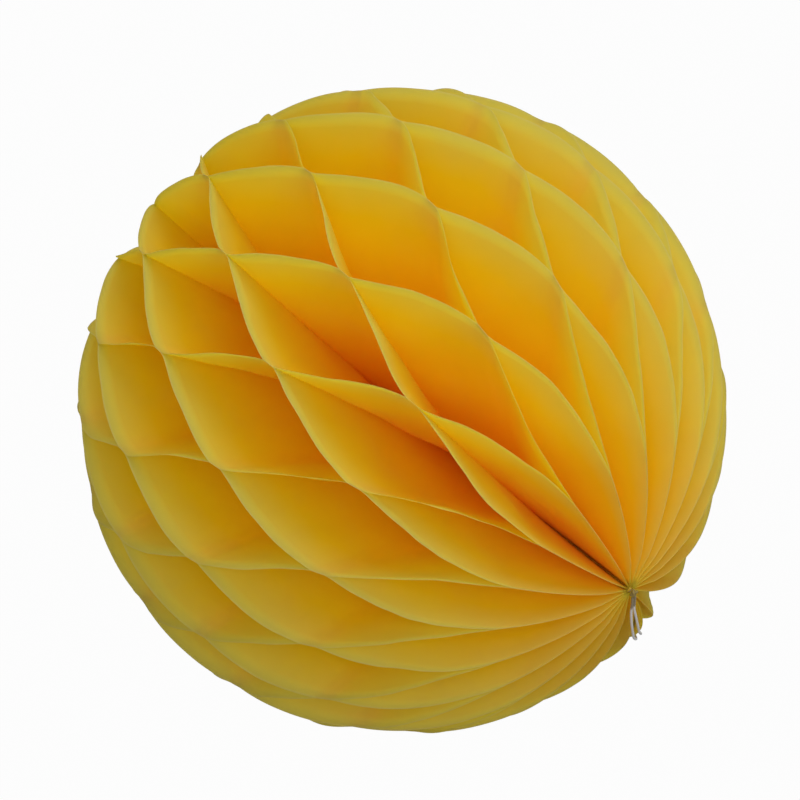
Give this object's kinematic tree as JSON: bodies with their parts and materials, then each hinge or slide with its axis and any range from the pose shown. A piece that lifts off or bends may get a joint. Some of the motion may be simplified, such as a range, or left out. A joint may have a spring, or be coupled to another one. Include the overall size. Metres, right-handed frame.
{
  "type": "paper honeycomb ball",
  "caption": "Golden yellow tissue paper honeycomb ball that folds flat round its sewn spine, with two cover cards and a hanging string.",
  "frame": {"origin": "centre of the knot at the top of the sewn spine, where the hanging string is tied", "axes": "+Z along the spine towards the knot that carries the ball, +Y from the spine towards the seam where the two cover cards meet"},
  "size_m": [0.1998, 0.1997, 0.2041],
  "materials": {
    "tissue": "thin dyed tissue paper, matte and slightly see-through, golden yellow",
    "card": "matte yellow card",
    "tape": "clear double-sided adhesive pad",
    "thread": "twisted cotton thread",
    "string": "fine white polyester thread with a slight gloss"
  },
  "bodies": {
    "fixed_side": {"fixed_cover": "card", "seam_tape": "tape", "spine_thread": "thread", "upper_knot": "thread", "lower_knot": "thread", "hanging_string": "string", "leaf_01": "tissue"},
    "moving_side": {"moving_cover": "card", "leaf_40": "tissue"},
    "leaf_02": {"leaf_02": "tissue"},
    "leaf_03": {"leaf_03": "tissue"},
    "leaf_04": {"leaf_04": "tissue"},
    "leaf_05": {"leaf_05": "tissue"},
    "leaf_06": {"leaf_06": "tissue"},
    "leaf_07": {"leaf_07": "tissue"},
    "leaf_08": {"leaf_08": "tissue"},
    "leaf_09": {"leaf_09": "tissue"},
    "leaf_10": {"leaf_10": "tissue"},
    "leaf_11": {"leaf_11": "tissue"},
    "leaf_12": {"leaf_12": "tissue"},
    "leaf_13": {"leaf_13": "tissue"},
    "leaf_14": {"leaf_14": "tissue"},
    "leaf_15": {"leaf_15": "tissue"},
    "leaf_16": {"leaf_16": "tissue"},
    "leaf_17": {"leaf_17": "tissue"},
    "leaf_18": {"leaf_18": "tissue"},
    "leaf_19": {"leaf_19": "tissue"},
    "leaf_20": {"leaf_20": "tissue"},
    "leaf_21": {"leaf_21": "tissue"},
    "leaf_22": {"leaf_22": "tissue"},
    "leaf_23": {"leaf_23": "tissue"},
    "leaf_24": {"leaf_24": "tissue"},
    "leaf_25": {"leaf_25": "tissue"},
    "leaf_26": {"leaf_26": "tissue"},
    "leaf_27": {"leaf_27": "tissue"},
    "leaf_28": {"leaf_28": "tissue"},
    "leaf_29": {"leaf_29": "tissue"},
    "leaf_30": {"leaf_30": "tissue"},
    "leaf_31": {"leaf_31": "tissue"},
    "leaf_32": {"leaf_32": "tissue"},
    "leaf_33": {"leaf_33": "tissue"},
    "leaf_34": {"leaf_34": "tissue"},
    "leaf_35": {"leaf_35": "tissue"},
    "leaf_36": {"leaf_36": "tissue"},
    "leaf_37": {"leaf_37": "tissue"},
    "leaf_38": {"leaf_38": "tissue"},
    "leaf_39": {"leaf_39": "tissue"}
  },
  "joints": [
    {"name": "open_close", "type": "hinge", "parent": "fixed_side", "child": "moving_side", "pos_m": [0, 0, -0.1], "axis": [0, 0, 1], "range_deg": [-353, 0]},
    {"name": "leaf_02_turn", "type": "hinge", "parent": "fixed_side", "child": "leaf_02", "pos_m": [0, 0, -0.1], "axis": [0, 0, 1], "range_deg": [-4.7, 0], "deforming": ["leaf_02"]},
    {"name": "leaf_03_turn", "type": "hinge", "parent": "fixed_side", "child": "leaf_03", "pos_m": [0, 0, -0.1], "axis": [0, 0, 1], "range_deg": [-14, 0], "deforming": ["leaf_03"]},
    {"name": "leaf_04_turn", "type": "hinge", "parent": "fixed_side", "child": "leaf_04", "pos_m": [0, 0, -0.1], "axis": [0, 0, 1], "range_deg": [-23.3, 0], "deforming": ["leaf_04"]},
    {"name": "leaf_05_turn", "type": "hinge", "parent": "fixed_side", "child": "leaf_05", "pos_m": [0, 0, -0.1], "axis": [0, 0, 1], "range_deg": [-32.6, 0], "deforming": ["leaf_05"]},
    {"name": "leaf_06_turn", "type": "hinge", "parent": "fixed_side", "child": "leaf_06", "pos_m": [0, 0, -0.1], "axis": [0, 0, 1], "range_deg": [-41.9, 0], "deforming": ["leaf_06"]},
    {"name": "leaf_07_turn", "type": "hinge", "parent": "fixed_side", "child": "leaf_07", "pos_m": [0, 0, -0.1], "axis": [0, 0, 1], "range_deg": [-51.1, 0], "deforming": ["leaf_07"]},
    {"name": "leaf_08_turn", "type": "hinge", "parent": "fixed_side", "child": "leaf_08", "pos_m": [0, 0, -0.1], "axis": [0, 0, 1], "range_deg": [-60.4, 0], "deforming": ["leaf_08"]},
    {"name": "leaf_09_turn", "type": "hinge", "parent": "fixed_side", "child": "leaf_09", "pos_m": [0, 0, -0.1], "axis": [0, 0, 1], "range_deg": [-69.7, 0], "deforming": ["leaf_09"]},
    {"name": "leaf_10_turn", "type": "hinge", "parent": "fixed_side", "child": "leaf_10", "pos_m": [0, 0, -0.1], "axis": [0, 0, 1], "range_deg": [-79, 0], "deforming": ["leaf_10"]},
    {"name": "leaf_11_turn", "type": "hinge", "parent": "fixed_side", "child": "leaf_11", "pos_m": [0, 0, -0.1], "axis": [0, 0, 1], "range_deg": [-88.3, 0], "deforming": ["leaf_11"]},
    {"name": "leaf_12_turn", "type": "hinge", "parent": "fixed_side", "child": "leaf_12", "pos_m": [0, 0, -0.1], "axis": [0, 0, 1], "range_deg": [-97.6, 0], "deforming": ["leaf_12"]},
    {"name": "leaf_13_turn", "type": "hinge", "parent": "fixed_side", "child": "leaf_13", "pos_m": [0, 0, -0.1], "axis": [0, 0, 1], "range_deg": [-106.9, 0], "deforming": ["leaf_13"]},
    {"name": "leaf_14_turn", "type": "hinge", "parent": "fixed_side", "child": "leaf_14", "pos_m": [0, 0, -0.1], "axis": [0, 0, 1], "range_deg": [-116.2, 0], "deforming": ["leaf_14"]},
    {"name": "leaf_15_turn", "type": "hinge", "parent": "fixed_side", "child": "leaf_15", "pos_m": [0, 0, -0.1], "axis": [0, 0, 1], "range_deg": [-125.5, 0], "deforming": ["leaf_15"]},
    {"name": "leaf_16_turn", "type": "hinge", "parent": "fixed_side", "child": "leaf_16", "pos_m": [0, 0, -0.1], "axis": [0, 0, 1], "range_deg": [-134.7, 0], "deforming": ["leaf_16"]},
    {"name": "leaf_17_turn", "type": "hinge", "parent": "fixed_side", "child": "leaf_17", "pos_m": [0, 0, -0.1], "axis": [0, 0, 1], "range_deg": [-144, 0], "deforming": ["leaf_17"]},
    {"name": "leaf_18_turn", "type": "hinge", "parent": "fixed_side", "child": "leaf_18", "pos_m": [0, 0, -0.1], "axis": [0, 0, 1], "range_deg": [-153.3, 0], "deforming": ["leaf_18"]},
    {"name": "leaf_19_turn", "type": "hinge", "parent": "fixed_side", "child": "leaf_19", "pos_m": [0, 0, -0.1], "axis": [0, 0, 1], "range_deg": [-162.6, 0], "deforming": ["leaf_19"]},
    {"name": "leaf_20_turn", "type": "hinge", "parent": "fixed_side", "child": "leaf_20", "pos_m": [0, 0, -0.1], "axis": [0, 0, 1], "range_deg": [-171.9, 0], "deforming": ["leaf_20"]},
    {"name": "leaf_21_turn", "type": "hinge", "parent": "fixed_side", "child": "leaf_21", "pos_m": [0, 0, -0.1], "axis": [0, 0, 1], "range_deg": [-181.2, 0], "deforming": ["leaf_21"]},
    {"name": "leaf_22_turn", "type": "hinge", "parent": "fixed_side", "child": "leaf_22", "pos_m": [0, 0, -0.1], "axis": [0, 0, 1], "range_deg": [-190.5, 0], "deforming": ["leaf_22"]},
    {"name": "leaf_23_turn", "type": "hinge", "parent": "fixed_side", "child": "leaf_23", "pos_m": [0, 0, -0.1], "axis": [0, 0, 1], "range_deg": [-199.8, 0], "deforming": ["leaf_23"]},
    {"name": "leaf_24_turn", "type": "hinge", "parent": "fixed_side", "child": "leaf_24", "pos_m": [0, 0, -0.1], "axis": [0, 0, 1], "range_deg": [-209.1, 0], "deforming": ["leaf_24"]},
    {"name": "leaf_25_turn", "type": "hinge", "parent": "fixed_side", "child": "leaf_25", "pos_m": [0, 0, -0.1], "axis": [0, 0, 1], "range_deg": [-218.4, 0], "deforming": ["leaf_25"]},
    {"name": "leaf_26_turn", "type": "hinge", "parent": "fixed_side", "child": "leaf_26", "pos_m": [0, 0, -0.1], "axis": [0, 0, 1], "range_deg": [-227.6, 0], "deforming": ["leaf_26"]},
    {"name": "leaf_27_turn", "type": "hinge", "parent": "fixed_side", "child": "leaf_27", "pos_m": [0, 0, -0.1], "axis": [0, 0, 1], "range_deg": [-236.9, 0], "deforming": ["leaf_27"]},
    {"name": "leaf_28_turn", "type": "hinge", "parent": "fixed_side", "child": "leaf_28", "pos_m": [0, 0, -0.1], "axis": [0, 0, 1], "range_deg": [-246.2, 0], "deforming": ["leaf_28"]},
    {"name": "leaf_29_turn", "type": "hinge", "parent": "fixed_side", "child": "leaf_29", "pos_m": [0, 0, -0.1], "axis": [0, 0, 1], "range_deg": [-255.5, 0], "deforming": ["leaf_29"]},
    {"name": "leaf_30_turn", "type": "hinge", "parent": "fixed_side", "child": "leaf_30", "pos_m": [0, 0, -0.1], "axis": [0, 0, 1], "range_deg": [-264.8, 0], "deforming": ["leaf_30"]},
    {"name": "leaf_31_turn", "type": "hinge", "parent": "fixed_side", "child": "leaf_31", "pos_m": [0, 0, -0.1], "axis": [0, 0, 1], "range_deg": [-274.1, 0], "deforming": ["leaf_31"]},
    {"name": "leaf_32_turn", "type": "hinge", "parent": "fixed_side", "child": "leaf_32", "pos_m": [0, 0, -0.1], "axis": [0, 0, 1], "range_deg": [-283.4, 0], "deforming": ["leaf_32"]},
    {"name": "leaf_33_turn", "type": "hinge", "parent": "fixed_side", "child": "leaf_33", "pos_m": [0, 0, -0.1], "axis": [0, 0, 1], "range_deg": [-292.7, 0], "deforming": ["leaf_33"]},
    {"name": "leaf_34_turn", "type": "hinge", "parent": "fixed_side", "child": "leaf_34", "pos_m": [0, 0, -0.1], "axis": [0, 0, 1], "range_deg": [-302, 0], "deforming": ["leaf_34"]},
    {"name": "leaf_35_turn", "type": "hinge", "parent": "fixed_side", "child": "leaf_35", "pos_m": [0, 0, -0.1], "axis": [0, 0, 1], "range_deg": [-311.2, 0], "deforming": ["leaf_35"]},
    {"name": "leaf_36_turn", "type": "hinge", "parent": "fixed_side", "child": "leaf_36", "pos_m": [0, 0, -0.1], "axis": [0, 0, 1], "range_deg": [-320.5, 0], "deforming": ["leaf_36"]},
    {"name": "leaf_37_turn", "type": "hinge", "parent": "fixed_side", "child": "leaf_37", "pos_m": [0, 0, -0.1], "axis": [0, 0, 1], "range_deg": [-329.8, 0], "deforming": ["leaf_37"]},
    {"name": "leaf_38_turn", "type": "hinge", "parent": "fixed_side", "child": "leaf_38", "pos_m": [0, 0, -0.1], "axis": [0, 0, 1], "range_deg": [-339.1, 0], "deforming": ["leaf_38"]},
    {"name": "leaf_39_turn", "type": "hinge", "parent": "fixed_side", "child": "leaf_39", "pos_m": [0, 0, -0.1], "axis": [0, 0, 1], "range_deg": [-348.4, 0], "deforming": ["leaf_39"]}
  ],
  "couplings": [
    {"joint": "leaf_02_turn", "follows": "open_close", "ratio": 0.01316},
    {"joint": "leaf_03_turn", "follows": "open_close", "ratio": 0.03947},
    {"joint": "leaf_04_turn", "follows": "open_close", "ratio": 0.06579},
    {"joint": "leaf_05_turn", "follows": "open_close", "ratio": 0.09211},
    {"joint": "leaf_06_turn", "follows": "open_close", "ratio": 0.11842},
    {"joint": "leaf_07_turn", "follows": "open_close", "ratio": 0.14474},
    {"joint": "leaf_08_turn", "follows": "open_close", "ratio": 0.17105},
    {"joint": "leaf_09_turn", "follows": "open_close", "ratio": 0.19737},
    {"joint": "leaf_10_turn", "follows": "open_close", "ratio": 0.22368},
    {"joint": "leaf_11_turn", "follows": "open_close", "ratio": 0.25},
    {"joint": "leaf_12_turn", "follows": "open_close", "ratio": 0.27632},
    {"joint": "leaf_13_turn", "follows": "open_close", "ratio": 0.30263},
    {"joint": "leaf_14_turn", "follows": "open_close", "ratio": 0.32895},
    {"joint": "leaf_15_turn", "follows": "open_close", "ratio": 0.35526},
    {"joint": "leaf_16_turn", "follows": "open_close", "ratio": 0.38158},
    {"joint": "leaf_17_turn", "follows": "open_close", "ratio": 0.40789},
    {"joint": "leaf_18_turn", "follows": "open_close", "ratio": 0.43421},
    {"joint": "leaf_19_turn", "follows": "open_close", "ratio": 0.46053},
    {"joint": "leaf_20_turn", "follows": "open_close", "ratio": 0.48684},
    {"joint": "leaf_21_turn", "follows": "open_close", "ratio": 0.51316},
    {"joint": "leaf_22_turn", "follows": "open_close", "ratio": 0.53947},
    {"joint": "leaf_23_turn", "follows": "open_close", "ratio": 0.56579},
    {"joint": "leaf_24_turn", "follows": "open_close", "ratio": 0.59211},
    {"joint": "leaf_25_turn", "follows": "open_close", "ratio": 0.61842},
    {"joint": "leaf_26_turn", "follows": "open_close", "ratio": 0.64474},
    {"joint": "leaf_27_turn", "follows": "open_close", "ratio": 0.67105},
    {"joint": "leaf_28_turn", "follows": "open_close", "ratio": 0.69737},
    {"joint": "leaf_29_turn", "follows": "open_close", "ratio": 0.72368},
    {"joint": "leaf_30_turn", "follows": "open_close", "ratio": 0.75},
    {"joint": "leaf_31_turn", "follows": "open_close", "ratio": 0.77632},
    {"joint": "leaf_32_turn", "follows": "open_close", "ratio": 0.80263},
    {"joint": "leaf_33_turn", "follows": "open_close", "ratio": 0.82895},
    {"joint": "leaf_34_turn", "follows": "open_close", "ratio": 0.85526},
    {"joint": "leaf_35_turn", "follows": "open_close", "ratio": 0.88158},
    {"joint": "leaf_36_turn", "follows": "open_close", "ratio": 0.90789},
    {"joint": "leaf_37_turn", "follows": "open_close", "ratio": 0.93421},
    {"joint": "leaf_38_turn", "follows": "open_close", "ratio": 0.96053},
    {"joint": "leaf_39_turn", "follows": "open_close", "ratio": 0.98684}
  ]
}
